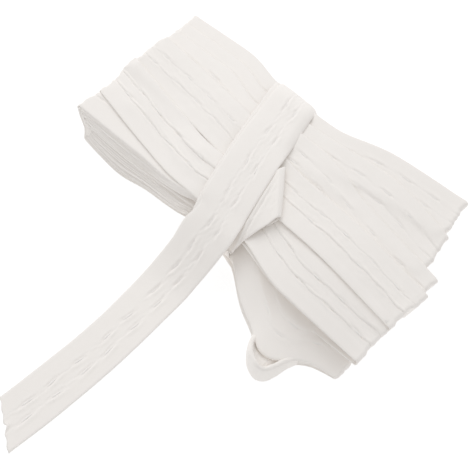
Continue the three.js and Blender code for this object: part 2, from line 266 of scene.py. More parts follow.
# The studio: one large soft lamp and a white world
KEY_DIRECTION = (-0.62, 0.5, 0.82)
KEY_DISTANCE = 1.4
KEY_SIZE = 1.3
KEY_POWER = 8.0
WORLD_STRENGTH = 0.68

# The cells of the meshes: the step along a turn that has STEP_CELLS cells over its width, the step of a turn
# inside another, and its cells over its width
STEP = 0.8
STEP_CELLS = 36
COARSE_STEP = 2.6
PLY_CELLS = 10

# The pitches of the woven ribs, in the tape's own UV, in which 1 is 10 mm
WARP_PITCH = 0.07
WEFT_PITCH = 0.055


def rows_of(columns, table):
    """Rows of a table as dictionaries with the columns' names."""
    return [dict(zip(columns, row)) for row in table]


def place(points):
    """Points in millimetres of this script, as points of the row frame in metres."""
    return (np.asarray(points, float) + MIDDLE_SHIFT) * MM


def smooth_through(places, values):
    """A smooth function through places that rise, without overshoot between them."""
    places, values = np.array(places, float), np.array(values, float)
    spans = np.diff(places)
    slopes = np.diff(values) / spans
    tangents = np.zeros(len(values))
    tangents[0], tangents[-1] = slopes[0], slopes[-1]
    before, after = slopes[:-1], slopes[1:]
    with np.errstate(divide="ignore", invalid="ignore"):
        between = 2 * before * after / (before + after)
    tangents[1:-1] = np.where(before * after > 0, between, 0.0)

    def at(where):
        where = np.asarray(where, float)
        i = np.clip(np.searchsorted(places, where, side="right") - 1, 0, len(spans) - 1)
        t = np.clip((where - places[i]) / spans[i], 0, 1)
        rise = t * t * (3 - 2 * t)
        swing = spans[i] * (t * (1 - t) ** 2 * tangents[i] + t * t * (t - 1) * tangents[i + 1])
        return values[i] * (1 - rise) + values[i + 1] * rise + swing

    return at


def curve_through(points, count):
    """Evenly spaced points on a centripetal curve through the given ones."""
    points = np.asarray(points, float)
    ends = (2 * points[0] - points[1], 2 * points[-1] - points[-2])
    knots = np.vstack([ends[0], points, ends[1]])
    fine = []
    for p0, p1, p2, p3 in zip(knots, knots[1:], knots[2:], knots[3:]):
        t0 = 0.0
        t1 = t0 + math.sqrt(np.linalg.norm(p1 - p0))
        t2 = t1 + math.sqrt(np.linalg.norm(p2 - p1))
        t3 = t2 + math.sqrt(np.linalg.norm(p3 - p2))
        t = np.linspace(t1, t2, 24, endpoint=False)[:, None]
        blend = lambda a, b, low, high: (high - t) / (high - low) * a + (t - low) / (high - low) * b
        middle = blend(p1, p2, t1, t2)
        before = blend(blend(p0, p1, t0, t1), middle, t0, t2)
        after = blend(middle, blend(p2, p3, t2, t3), t1, t3)
        fine.append(blend(before, after, t1, t2))
    fine = np.vstack([*fine, points[-1:]])
    reach = arc_lengths(fine)
    even = np.linspace(0, reach[-1], count)
    return np.stack([np.interp(even, reach, column) for column in fine.T], axis=1)


def arc_lengths(path):
    """How far each point of a polyline lies along it."""
    steps = np.linalg.norm(np.diff(path, axis=0), axis=1)
    return np.concatenate([[0.0], np.cumsum(steps)])


def ramp(value, start, length):
    """0 before the start, then a straight rise to 1 over the length."""
    return np.clip((value - start) / length, 0, 1)


def unit(vectors):
    """Vectors of length 1 in the same directions."""
    return vectors / np.linalg.norm(vectors, axis=-1, keepdims=True)


def bump(distance, width, power=2):
    """A soft hump, 1 in its middle."""
    return np.exp(-np.abs(distance / width) ** power)


def hash_noise(*numbers):
    """A fixed number from -1 to 1 for each set of whole numbers."""
    seed = sum(n * k for n, k in zip(numbers, (12.9898, 78.233, 37.719)))
    return 2 * (math.sin(seed) * 43758.5453 % 1) - 1


def woven_across(cells):
    """Places over the tape's width, closer together beside the drawcords."""
    fine = np.linspace(-HALF_WIDTH, HALF_WIDTH, 801)
    density = 1 + 2.2 * sum(bump(fine - cord, 1.7, 4) for cord in CORDS)
    filled = np.concatenate([[0.0], np.cumsum((density[1:] + density[:-1]) / 2)])
    return np.interp(np.linspace(0, filled[-1], cells + 1), filled, fine)


def pucker_places(length, phase):
    """Where the drawcords come to the surface along a length of tape, each with its number."""
    first = math.ceil(-phase / PUCKER_PERIOD)
    count = int(length / PUCKER_PERIOD) + 1
    stray = lambda k: PUCKER_STRAY * hash_noise(k, phase)
    return [(k * PUCKER_PERIOD + phase + stray(k), k) for k in range(first, first + count)]


def slit_of(start, k, side, phase):
    """Where a drawcord comes to the surface in a slit, how the slit slants and half its length."""
    centre = start + (SLIT_STAGGER * side - SLIT_STAGGER / 2) + SLIT_STRAY * hash_noise(k, side, phase)
    drift = SLIT_SLANT * hash_noise(k, side + 4, phase)
    return centre, drift, SLIT_LENGTH + SLIT_VARIES * hash_noise(k, side + 11, phase)


def relief(along, across, phase, crinkle, lines=1.0, slits=1.0, pull=(1.0, 1.0), puckers=None, slit=0.6):
    """Height of the woven cords, their slits and the puckers round them over the plain cloth."""
    middle = sum(CORDS) / 2
    height = -POCKET_DIP * bump(across - middle, 3.6, 6) + 0 * along
    ridge, ridge_at, ridge_width = CORD_RIDGE
    groove, groove_at, groove_width = CORD_GROOVE
    for side, cord in enumerate(CORDS):
        wander = 0.3 * np.sin(along / 4.6 + phase + 2 * side) + 0.2 * np.sin(along / 2.3 + 3 * phase + side)
        off = across - cord - wander
        raised = ridge * bump(off - ridge_at, ridge_width) - groove * bump(off + groove_at, groove_width)
        height += lines * pull[side] * raised
    for start, k in puckers or pucker_places(float(along.max()), phase):
        near = bump(along - start, 8.5, 4)
        for side, cord in enumerate(CORDS):
            centre, drift, length = slit_of(start, k, side, phase)
            off = across - cord - drift * (along - centre)
            height -= slits * SLIT_DEPTH * bump(along - centre, length, 4) * bump(off, slit)
            height += slits * 0.22 * bump(along - centre, length + 1.8, 4) * bump(off - slit - 0.6, 0.7)
            height += slits * 0.1 * bump(along - centre, length + 0.8, 4) * bump(off + slit + 0.6, 0.6)
        tilt = 0.26 + 0.1 * hash_noise(k, 9, phase)
        skewed = (across - middle) + tilt * (along - start) + 0.35 * np.sin(along * 0.9 + k)
        wave = np.cos(2 * np.pi * skewed / 2.5 + 3 * hash_noise(k, 5, phase))
        height += crinkle * wave * near * bump(across - middle, 5.2, 4)
    return height


def surface_point(grid, along, across, reach, side):
    """The point of a grid at a distance along the tape and a distance from its middle."""
    row = float(np.interp(reach, along, np.arange(len(along))))
    first = min(int(row), len(along) - 2)
    line = grid[first] + (row - first) * (grid[first + 1] - grid[first])
    return np.array([np.interp(side, across, line[:, k]) for k in range(3)])


def cord_spots(grid, along, across, phase, puckers, last, bare=None):
    """The middle, direction, way up and half the length of each drawcord that lies bare in its slit."""
    spots = []
    at = lambda reach, side: surface_point(grid, along, across, reach, side)
    for start, k in puckers:
        for side, cord in enumerate(CORDS):
            centre, drift, length = slit_of(start, k, side, phase)
            if centre - length < along[0] + 1 or centre + length > last - 1:
                continue
            if bare is not None and surface_point(bare, along, across, centre, cord)[0] < 0.9:
                continue
            back, here, on = (at(centre + t * length, cord + t * drift * length) for t in (-0.6, 0, 0.6))
            up = unit(np.cross(on - back, at(centre, cord + 1) - at(centre, cord - 1)))
            spots.append((here + up * BARE_CORD_LIFT, on - back, up, BARE_CORD_SHARE * length))
    return spots


def flutter(along, across, amount, phase):
    """Soft unevenness of a length of tape, more of it at the selvedges."""
    edge = 0.35 + 0.65 * (across / HALF_WIDTH) ** 2
    waves = (
        np.sin(along / 11.3 + phase * 1.7 + 0.05 * across)
        + 0.6 * np.sin(along / 6.1 + phase * 2.9 - 0.08 * across)
        + 0.35 * np.sin(along / 3.7 + phase * 4.1 + 0.11 * across)
    )
    return amount * 0.5 * edge * waves


def grid_normals(mid, closed):
    """Unit normals of a grid of points, the first axis along the tape."""
    if closed:
        along = np.roll(mid, -1, 0) - np.roll(mid, 1, 0)
    else:
        along = np.gradient(mid, axis=0)
    across = np.gradient(mid, axis=1)
    normals = np.cross(along, across)
    return normals / np.maximum(np.linalg.norm(normals, axis=2, keepdims=True), 1e-9)


def cloth_object(name, mid, along, across, material, closed=False, thickness=CLOTH, roundness=1.0):
    """A closed thin solid round a grid of middle points, with rounded selvedges and the tape's own UV."""
    normals = grid_normals(mid, closed)
    count, width = mid.shape[:2]
    half = thickness / 2
    outward = unit(mid[:, -1] - mid[:, -2])
    inward = unit(mid[:, 0] - mid[:, 1])
    far = (mid[:, -1] + outward * half * roundness)[:, None]
    near = (mid[:, 0] + inward * half * roundness)[:, None]
    ring = np.concatenate([mid + normals * half, far, (mid - normals * half)[:, ::-1], near], axis=1)
    around = ring.shape[1]
    v_top = np.broadcast_to(across, (count, width))
    v_ring = np.concatenate([v_top, v_top[:, -1:], v_top[:, ::-1], v_top[:, :1]], axis=1)
    u_ring = np.broadcast_to(along[:, None], (count, around))
    rows = count if closed else count - 1
    i = np.arange(rows)[:, None]
    k = np.arange(around)[None, :]
    j = (i + 1) % count
    m = (k + 1) % around
    quads = np.stack([i * around + k, j * around + k, j * around + m, i * around + m], axis=2).reshape(-1, 4)
    points = ring.reshape(-1, 3)
    faces = quads.tolist()
    if not closed:
        faces += end_cap(0, around, width, False) + end_cap((count - 1) * around, around, width, True)
    mesh = bpy.data.meshes.new(name)
    mesh.from_pydata(place(points).tolist(), [], faces)
    uv = mesh.uv_layers.new(name="tape")
    loops = np.empty(len(mesh.loops), dtype=np.int32)
    mesh.loops.foreach_get("vertex_index", loops)
    flat = np.stack([u_ring.reshape(-1)[loops], v_ring.reshape(-1)[loops]], axis=1) * 0.1
    uv.data.foreach_set("uv", flat.astype(np.float32).ravel())
    mesh.materials.append(material)
    return piece_of(name, mesh)


def piece_of(name, mesh):
    """A smooth piece of a closed mesh, its faces pointing outwards."""
    mesh.polygons.foreach_set("use_smooth", [True] * len(mesh.polygons))
    mesh.update()
    if signed_volume(mesh) < 0:
        mesh.flip_normals()
    piece = bpy.data.objects.new(name, mesh)
    bpy.context.scene.collection.objects.link(piece)
    return piece


def end_cap(first, around, width, reverse):
    """Faces that close one cut end of a strip: quads between its two sides, a triangle at each selvedge."""
    faces = []
    low = lambda k: first + width + 1 + (width - 1 - k)
    for k in range(width - 1):
        faces.append([first + k, first + k + 1, low(k + 1), low(k)])
    faces.append([first + width - 1, first + width, low(width - 1)])
    faces.append([first, low(0), first + around - 1])
    return [face[::-1] for face in faces] if reverse else faces


def signed_volume(mesh):
    """Volume of a closed mesh, below zero where its faces point inwards."""
    mesh.calc_loop_triangles()
    corners = np.empty(len(mesh.loop_triangles) * 3, dtype=np.int32)
    mesh.loop_triangles.foreach_get("vertices", corners)
    points = np.empty(len(mesh.vertices) * 3, dtype=np.float32)
    mesh.vertices.foreach_get("co", points)
    a, b, c = np.moveaxis(points.reshape(-1, 3)[corners.reshape(-1, 3)].astype(float), 1, 0)
    return float((a * np.cross(b, c)).sum() / 6)


class HeightField:
    """The highest cloth over each place, so that the next turn comes to lie on it."""

    def __init__(self, low, high, pitch):
        self.low = np.array(low, float)
        self.pitch = pitch
        self.size = np.ceil((np.array(high, float) - self.low) / pitch).astype(int) + 1
        self.height = np.full(self.size, NO_CLOTH)

    def cells(self, points):
        index = np.rint((points[..., :2] - self.low) / self.pitch).astype(int)
        return tuple(np.moveaxis(np.clip(index, 0, self.size - 1), -1, 0))

    def at(self, points):
        return self.height[self.cells(points)]

    def raise_to(self, points):
        np.maximum.at(self.height, self.cells(points), points[..., 2])


def soften(grid, along, across):
    """A grid blurred a little along its two axes, its borders held by their own values."""
    for axis, width in ((0, along), (1, across)):
        if width <= 0:
            continue
        reach = int(math.ceil(2.5 * width))
        kernel = np.exp(-0.5 * (np.arange(-reach, reach + 1) / width) ** 2)
        kernel /= kernel.sum()
        padding = [(reach, reach) if a == axis else (0, 0) for a in range(2)]
        padded = np.pad(grid, padding, mode="edge")
        grid = np.apply_along_axis(lambda line: np.convolve(line, kernel, mode="valid"), axis, padded)
    return grid


class Turn:
    """One turn of the hank: an upper pass, a bend over each end and a lower pass."""

    def __init__(self, course, ply=0):
        self.course = course
        self.ply = ply
        self.kind = course["name"]
        self.name = f"ply_{self.kind}_{ply}" if ply else f"turn_{self.kind}"
        self.inset = PLY_PITCH * ply
        self.spots = []
        self.cells = course["cells"] if ply == 0 else PLY_CELLS
        self.step = STEP * STEP_CELLS / course["cells"] if ply == 0 else COARSE_STEP
        left, right = course["x_left"], course["x_right"]
        places = (left, LEFT_BELLY_X, WAIST_LEFT_X, WAIST_RIGHT_X, RIGHT_BELLY_X, right)
        ends = (left, WAIST_LEFT_X, WAIST_RIGHT_X, right)

        def through(where, what, parts):
            return smooth_through(where, [course[f"{what}_{part}"] for part in parts.split()])

        self.middle = through(places, "y", "left left_belly waist_left waist_right right_belly right")
        self.top = through(places, "z", "left left_belly waist waist right_belly right")
        self.lean = through(ends, "lean", "left waist waist right")
        self.low = through(ends, "low", "left left right right")
        if ply:
            self.across = np.linspace(-HALF_WIDTH, HALF_WIDTH, PLY_CELLS + 1)
        else:
            self.across = woven_across(self.cells)
        straight = self.straight = self.middle
        if self.kind == "slack":
            bulge = lambda x: SLACK_BULGE * bump(x - SLACK_BULGE_X, SLACK_BULGE_REACH, 2.4)
            self.middle = lambda x: straight(x) - bulge(x)
        share = self.across / HALF_WIDTH
        self.radius = max(FOLD_RADIUS - FOLD_TIGHTER * ply, FOLD_TIGHTEST)
        self.left = left + self.inset + course["slant_left"] * share + self.radius + self.ragged(1.3)
        self.right = right - self.inset + course["slant_right"] * share - self.radius + self.ragged(4.1)
        count = int((self.right.mean() - self.left.mean()) / self.step)
        t = np.linspace(0, 1, count)[:, None]
        self.upper = self.pass_points(self.left * (1 - t) + self.right * t)
        x = self.upper[..., 0]
        self.upper[..., 2] = self.top(x) - CLOTH / 2 - self.inset + self.lean(x) / TAPE_WIDTH * self.across
        if self.kind == "slack":
            droop = smooth_through(SLACK_DROOP_X, SLACK_DROOP)(x)
            self.upper[..., 2] -= droop * np.clip(-self.across / HALF_WIDTH, 0, 1) ** SLACK_DROOP_POWER
        self.wanted = self.upper[..., 2].copy()
        self.below = np.full_like(self.wanted, NO_CLOTH)
        if ply == 0:
            run = arc_lengths(self.upper[:, self.cells // 2])[:, None]
            self.wanted += flutter(run, self.across[None, :], 0.5 * course["wave"], course["phase"])

    def ragged(self, seed):
        """How far the fold over an end strays from a straight line."""
        turn = self.course["phase"] * 1.9 + 3.1 * self.ply + seed
        wave = np.sin(self.across * 0.31 + turn) + 0.6 * np.sin(self.across * 0.83 + 2.3 * turn)
        return FOLD_RAGGED * (wave + 0.35 * np.sin(self.across * 1.9 + 1.1 * turn))

    def sway(self, x):
        """How far a turn inside another strays sideways."""
        if self.ply == 0:
            return 0.0
        turn = self.course["phase"] + 2.3 * self.ply
        stray = 0.3 * np.sin(x / 31 + turn) + 0.15 * np.sin(x / 13 + 1.7 * turn)
        stray += 0.12 * hash_noise(self.ply, turn)
        if self.kind == "edge":
            return stray - sum(EDGE_LEDGE for first in EDGE_LEDGES if self.ply >= first)
        return stray + (0.0 if self.kind == "far" else PLY_STEP_SIDEWAYS * self.ply)

    def pass_points(self, x):
        """Points of a pass over the given grid of X places, without their heights."""
        slope = self.straight(x + 0.5) - self.straight(x - 0.5)
        y = self.middle(x) + self.across * np.sqrt(1 + slope**2) + self.sway(x)
        if self.kind == "slack":
            y += SLACK_SPREAD * (self.straight(x) - self.middle(x)) * (self.across / TAPE_WIDTH + 0.5)
        return np.stack([x, y, np.zeros_like(x)], axis=2)

    def lay_on(self, field, to_the_left, sink):
        """Lets the left or the right part of the upper pass down on what is already there."""
        if self.ply and self.kind == "edge" and not to_the_left:
            # There these turns lie inside the pile, and they carry nothing that shows
            return
        x = self.upper[:, self.cells // 2, 0]
        rows = x < CROSSING_X if to_the_left else x >= CROSSING_X
        part = self.upper[rows]
        need = field.at(part) + CLOTH / 2 + LAY_GAP
        height = np.maximum(self.wanted[rows] - sink, need)
        along, sideways = LAY_EVEN_ALONG / self.step, LAY_EVEN_ACROSS / (TAPE_WIDTH / self.cells)
        for _ in range(3):
            height = np.maximum(soften(height, along, sideways), need)
        height = soften(height, 0.5 * along, 0.5 * sideways)
        self.below[rows] = soften(need, 1.6 / self.step, 1.2) - LAY_GAP - 0.12
        part[..., 2] = height
        self.upper[rows] = part
        over = part.copy()
        over[..., 2] += CLOTH / 2
        field.raise_to(over)
        field.raise_to((over[:, 1:] + over[:, :-1]) / 2)

    def settle(self):
        """Evens out the place under the wrap where the two halves meet."""
        x = self.upper[:, self.cells // 2, 0]
        near = bump(x - CROSSING_X, 11.0, 4)[:, None]
        soft = soften(self.upper[..., 2], 7.0 / self.step, 0)
        self.upper[..., 2] += near * (soft - self.upper[..., 2])

    def fold_rows(self, edge, high, direction):
        """The fold over one end, from the upper pass down to the lower one, and where it ends along X."""
        low = self.lower_height(edge)
        radius = np.minimum(self.radius, (high - low) / 2 - 0.02)
        wall = high - low - 2 * radius
        slant = FOLD_SLANT * wall
        turn = np.linspace(0, np.pi / 2, 6)[1:, None]
        down = np.linspace(0, 1, max(int(wall.mean() / (1.6 * self.step)), 3) + 1)[1:, None]
        sine, cosine = np.sin(turn), np.cos(turn)
        out = np.concatenate([radius * sine, radius - slant * down, radius * cosine - slant])
        fall = np.concatenate([radius * (1 - cosine), radius + wall * down, radius + wall + radius * sine])
        rows = self.pass_points(edge + direction * out[:-1])
        rows[..., 2] = high - fall[:-1]
        return rows, edge - direction * slant

    def grid(self):
        """All middle points of the closed turn."""
        right_fold, right_low = self.fold_rows(self.right, self.upper[-1, :, 2], 1)
        left_fold, left_low = self.fold_rows(self.left, self.upper[0, :, 2], -1)
        count = int((self.right.mean() - self.left.mean()) / (2.5 * self.step))
        t = np.linspace(0, 1, count)[:, None]
        lower = self.pass_points(right_low * (1 - t) + left_low * t)
        lower[..., 2] = self.lower_height(lower[..., 0])
        return np.concatenate([self.upper, right_fold, lower, left_fold[::-1]])

    def lower_height(self, x):
        """Height of the lower pass, which leans as the upper one does, but less."""
        height = self.low(x) + CLOTH / 2 + self.inset + 0.5 * self.lean(x) / TAPE_WIDTH * self.across
        return np.maximum(height, ON_SURFACE)

    def show(self, grid, field):
        """How strongly the cords' lines show in each half, and which part isn't under another turn."""
        share = ramp(grid[..., 0], -30, 60)
        lines = self.course["cord_left"] * (1 - share) + self.course["cord_right"] * share
        count = len(self.upper)
        above = field.at(self.upper) - (self.upper[..., 2] + CLOTH / 2)
        bare = np.ones_like(lines)
        bare[:count] = 1 - soften(ramp(above, 0.3, 0.3), 1.2 / self.step, 2.0)
        return lines, np.clip(bare * 1.3 - 0.3, 0, 1)

    def make(self, material, field):
        """The finished piece, and the cut length of its tape."""
        grid = self.grid()
        along = arc_lengths(grid[:, self.cells // 2])
        if self.kind == "edge":
            x = grid[..., 0]
            slope = smooth_through(NEAR_SLOPE_X, NEAR_SLOPE)(x) * (x < 0)
            grid[..., 1] -= slope * np.clip(self.top(x) - grid[..., 2], 0, None)
            dent = END_DENT * bump(grid[..., 2] - END_DENT_HEIGHT, END_DENT_REACH, 2.0)
            grid[..., 0] += dent * ramp(x, *END_DENT_RUN)
        if self.ply == 0:
            normals = grid_normals(grid, True)
            if normals[5, self.cells // 2, 2] < 0:
                normals = -normals
            lines, bare = self.show(grid, field)
            phase = self.course["phase"]
            pull = CORD_PULL.get(self.kind, (1.0, 1.0))
            shape = relief(along[:, None], self.across[None, :], phase, 0.07, lines, 0.75, pull=pull)
            shape *= bare
            grid = grid + normals * shape[..., None]
            count = len(self.upper)
            lowest = np.minimum(self.below, self.upper[..., 2] - 0.1)
            grid[:count, :, 2] = np.maximum(grid[:count, :, 2], lowest)
            grid[..., 2] = np.maximum(grid[..., 2], ON_SURFACE)
            self.spots = cord_spots(
                grid[:count], along[:count], self.across, phase, pucker_places(float(along.max()), phase),
                float(along[count - 1]), np.repeat(bare[:count, :, None], 3, axis=2),
            )
        thickness, roundness = (PLY_THICKNESS, PLY_ROUNDNESS) if self.ply else (CLOTH, 1.0)
        piece = cloth_object(self.name, grid, along, self.across, material, True, thickness, roundness)
        return piece, along


def wind_turns():
    """All turns of the hank in the order of the left half, each lying on those below it."""
    turns = []
    for course in rows_of(COURSE_COLUMNS, COURSES):
        turns += [Turn(course, ply) for ply in range(course["plies"], -1, -1)]
    field = HeightField((-112, -32), (112, 126), STEP)
    right = sorted(turns, key=lambda turn: RIGHT_ORDER.index(turn.kind))
    for to_the_left, order in ((True, turns), (False, right)):
        for turn in order:
            turn.lay_on(field, to_the_left, 0.0 if turn.ply else turn.course["sink"])
    for turn in turns:
        turn.settle()
    return turns, field


def wrap_middle(y):
    """The middle of the wrap along Y."""
    share = np.clip((WRAP_FAR[1] - y) / (WRAP_FAR[1] - WRAP_NEAR[1]), -0.05, 1.05)
    return WRAP_FAR[0] + (WRAP_NEAR[0] - WRAP_FAR[0]) * share


def wrap_aslant(y, share):
    """How much nearer a place of the wrap lies, share being 0 at its left selvedge and 1 at its right one."""
    return WRAP_ASLANT * share * ramp(y, *WRAP_ASLANT_RUN)


def offset_path(path, distance):
    """A path in the YZ plane moved outwards."""
    along = unit(np.gradient(path, axis=0))
    return path + distance * np.stack([along[:, 1], -along[:, 0]], axis=1)


def build_under_wrap(material):
    """The under turn of the wrap: round the waist and closed under it."""
    path = offset_path(curve_through(WRAP_OUTLINE, 170), -CLOTH / 2 - 0.05)
    closing = np.stack([np.linspace(path[-1, 0], path[0, 0], 34)[1:-1], np.full(32, path[0, 1])], axis=1)
    path = np.vstack([path, closing])
    across = np.linspace(-HALF_WIDTH, HALF_WIDTH, 33)
    y = path[:, 0]
    shift = np.interp(y, (WRAP_NEAR[1], WRAP_FAR[1]), (UNDER_SHIFT_NEAR, UNDER_SHIFT_FAR))
    x = (wrap_middle(y) + shift)[:, None] + across[None, :]
    grid = np.dstack(np.broadcast_arrays(x, path[:, :1], path[:, 1:]))
    grid[..., 1] -= wrap_aslant(grid[..., 1], across / TAPE_WIDTH + 0.5)
    along = arc_lengths(np.vstack([path, path[:1]]))[:-1]
    return cloth_object("under_wrap", grid, along, across, material, closed=True), along


def loose_rows():
    """Middle line of the loose end with its width, skew and turn, from the far lower corner of the wrap."""
    outline = offset_path(curve_through(WRAP_OUTLINE, 150), LOOSE_STAND_OFF)
    on_wrap = outline[(outline[:, 1] > 1.6) & (outline[:, 0] > LEAVE_WRAP_Y)]
    rows = []
    for y, z in on_wrap[::3]:
        width = LOOSE_WIDTH_ON_WRAP - LOOSE_NARROWER * float(ramp(y, *LOOSE_NARROWER_RUN))
        rows.append((wrap_middle(y) + LOOSE_SHIFT_ON_WRAP, y, z, width, 0.0, 0.0))
    free = rows_of(LOOSE_COLUMNS, LOOSE_END)
    for i, row in enumerate(free):
        before = free[max(i - 1, 0)]
        after = free[min(i + 1, len(free) - 1)]
        turn = math.atan2(after["x"] - before["x"], before["y"] - after["y"])
        rows.append((row["x"], row["y"], row["z"], row["width"], row["skew"], turn))
    return np.array(rows)


def build_loose_end(material):
    """The top pass of the wrap, the slope down to the surface and the tail with its slanting cut end."""
    rows = loose_rows()
    reach = arc_lengths(rows[:, :3])
    count = int(reach[-1] / STEP)
    centre = curve_through(rows[:, :3], count)
    centre[:, 2] = np.maximum(centre[:, 2], CLOTH / 2 + 0.06)
    along = arc_lengths(centre)
    share = along / along[-1] * reach[-1]
    width, skew, turn = (smooth_through(reach, rows[:, k])(share) for k in (3, 4, 5))
    tangent = unit(np.gradient(centre, axis=0))
    side = np.stack([np.cos(turn), np.sin(turn), np.zeros(count)], axis=1)
    up = unit(np.cross(tangent, side))
    across = woven_across(40) / TAPE_WIDTH
    spread = across[None, :, None] * width[:, None, None]
    grid = centre[:, None] + side[:, None] * spread
    grid += tangent[:, None] * (across[None, :, None] * skew[:, None, None])
    grid[..., 1] -= wrap_aslant(grid[..., 1], across + 0.5)
    flat_across = across * TAPE_WIDTH
    u, v = along[:, None], flat_across[None, :]
    tied = 1 - ramp(centre[:, 1], rows[len(rows) - len(LOOSE_END), 1], -30)[:, None]
    puckers = [(start, k) for k, start in enumerate(LOOSE_PUCKERS)]
    shape = relief(
        u, v, LOOSE_PHASE, 0.08 + 0.06 * tied, 0.3 + 0.1 * tied, 1.5 - 0.6 * tied,
        puckers=puckers, slit=LOOSE_SLIT,
    )
    shape -= 0.3 * tied * np.abs(2 * across[None, :]) ** 6
    shape -= BAND_DROOP * ramp(centre[:, 1], FOLD_START[1], 12)[:, None] * ramp(across[None, :], 0.3, 0.2) ** 2
    shape += flutter(u, v, 0.25, 1.3) * (0.4 + 0.6 * tied)
    to_end = along[-1] - u
    notch = bump(v - CUT_NOTCH, 1.3) * bump(to_end, 2.6)
    shape += CUT_CURL * notch
    frayed = CUT_DEPTH * notch + 0.3 * np.sin(v * 1.1) * bump(to_end, 1.5)
    grid -= tangent[:, None] * frayed[..., None]
    grid += up[:, None] * shape[..., None]
    grid[..., 2] = np.maximum(grid[..., 2], ON_SURFACE)
    spots = cord_spots(grid, along, flat_across, LOOSE_PHASE, puckers, float(along[-1]))
    return cloth_object("loose_end_cloth", grid, along, flat_across, material), along, spots


def wrap_height(y):
    """Height of the wrap's outline over a place along Y."""
    outline = curve_through(WRAP_OUTLINE, 200)
    upper = outline[outline[:, 1] > 17]
    order = np.argsort(upper[:, 0])
    return np.interp(y, upper[order, 0], upper[order, 1])


def build_folded_corner(material):
    """The corner where the last turn is folded over and goes back under the wrap."""
    away = unit(FOLD_AWAY)
    share = np.linspace(0, 1, 31)
    start = FOLD_START[None, :] + share[:, None] * (FOLD_END - FOLD_START)[None, :]
    longest = (start[:, 1] - FOLD_LOWEST_Y) / -away[1]
    rows = []
    for a, drop in FOLD_SECTION:
        plan = start + a * away
        rows.append(np.column_stack([plan, wrap_height(plan[:, 1]) - FOLD_BELOW + drop]))
    for t in np.linspace(0.03, 1, 60):
        far = 1.2 + t * (longest - 1.2)
        plan = start + far[:, None] * away
        roll = 1.75 * np.exp(-((far - 2.6) / 3.0) ** 2) * (0.75 + 0.25 * share)
        rows.append(np.column_stack([plan, wrap_height(plan[:, 1]) - FOLD_BELOW + roll]))
    grid = np.array(rows)
    along = arc_lengths(grid[:, 15])
    across = (share - 0.5) * TAPE_WIDTH
    normals = grid_normals(grid, False)
    if normals[30, 15, 2] < 0:
        normals = -normals
    shape = relief(along[:, None], across[None, :], 13.0, 0.08, 0.7)
    fade = ramp(along, 12, 6)
    edge = wrap_middle(grid[..., 1]) + LOOSE_SHIFT_ON_WRAP + LOOSE_WIDTH_ON_WRAP / 2
    beside = grid[..., 0] - edge
    crease = 0.45 * bump(beside - 1.3, 0.7) - 0.5 * bump(beside - 2.6, 0.6) + 0.25 * bump(beside - 3.7, 0.8)
    grid += normals * ((shape + crease) * fade[:, None])[..., None]
    return cloth_object("folded_corner", grid, along, across, material), along


def build_loop(material):
    """The slack loop that stands out of the near side, with the part of its strip under the slack turn."""
    rows = np.array(LOOP, float)
    reach = arc_lengths(rows[:, :2])
    plan = curve_through(rows[:, :2], 110)
    along = arc_lengths(plan)
    share = along / along[-1] * reach[-1]
    height = smooth_through(reach, rows[:, 2])(share)
    lean = smooth_through(reach, rows[:, 3])(share)
    tangent = unit(np.gradient(plan, axis=0))
    inside = np.stack([-tangent[:, 1], tangent[:, 0]], axis=1)
    across = np.linspace(0, TAPE_WIDTH, 49)
    wall = (height - LOOP_RIM - CLOTH / 2)[:, None]
    hollow = np.clip(0.52 * wall, 1.5, LOOP_HOLLOW)
    up = np.clip(across / wall, 0, 1)
    over = np.clip((across - wall) / LOOP_RIM, 0, math.pi)
    bend = np.clip((across - wall - math.pi * LOOP_RIM) / hollow, 0, math.pi / 2)
    flat = np.clip(across - wall - math.pi * LOOP_RIM - hollow * math.pi / 2, 0, None)
    inward = lean[:, None] * up**1.6 + LOOP_RIM * (1 - np.cos(over)) + hollow * (1 - np.cos(bend)) + flat
    gather = 0.3 * ramp(flat, 0, 3) * (1 + np.sin(along * 0.95))[:, None]
    rise = CLOTH / 2 + 0.05 + wall * up + LOOP_RIM * np.sin(over) - hollow * np.sin(bend) + gather
    near = np.minimum(inward, 2 * LOOP_RIM + 2.6)
    under = (inward - near)[..., None] * np.array(LOOP_INWARD)
    spot = plan[:, None] + inside[:, None] * near[..., None] + under
    grid = np.concatenate([spot, rise[..., None]], axis=2)
    normals = grid_normals(grid, False)
    grid += normals * flutter(along[:, None], across[None, :] - HALF_WIDTH, 0.25, 2.2)[..., None]
    grid[..., 2] = np.maximum(grid[..., 2], ON_SURFACE)
    return cloth_object("slack_loop", grid, along, across - HALF_WIDTH, material), along


class Wire:
    """A socket of a node tree that can be added and scaled like a number."""

    def __init__(self, tree, socket=None):
        self.tree = tree
        self.socket = socket

    def node(self, kind, settings=None, output=None, **inputs):
        """A new node with its settings and the values or links of its sockets, or a wire from its output."""
        node = self.tree.nodes.new(kind)
        for name, value in (settings or {}).items():
            setattr(node, name, value)
        for name, value in inputs.items():
            by_number = name[0] == "_"
            target = node.inputs[int(name[1:]) if by_number else name.replace("_", " ")]
            if isinstance(value, Wire):
                self.tree.links.new(value.socket, target)
            else:
                target.default_value = value
        return node if output is None else Wire(self.tree, node.outputs[output])

    def math(self, operation, *others, clamp=False):
        settings = {"operation": operation, "use_clamp": clamp}
        inputs = {f"_{k}": value for k, value in enumerate((self, *others))}
        return self.node("ShaderNodeMath", settings, 0, **inputs)

    def __add__(self, other):
        return self.math("ADD", other)

    __radd__ = __add__

    def __mul__(self, other):
        return self.math("MULTIPLY", other)

    __rmul__ = __mul__

    def mix(self, low, high):
        """A colour between two colours."""
        ends = {"_6": (*low, 1.0), "_7": (*high, 1.0)}
        return self.node("ShaderNodeMix", {"data_type": "RGBA"}, 2, Factor=self, **ends)


def empty_material(name):
    """A material without nodes, and the wire that makes them."""
    material = bpy.data.materials.new(name)
    material.use_nodes = True
    material.node_tree.nodes.clear()
    return material, Wire(material.node_tree)


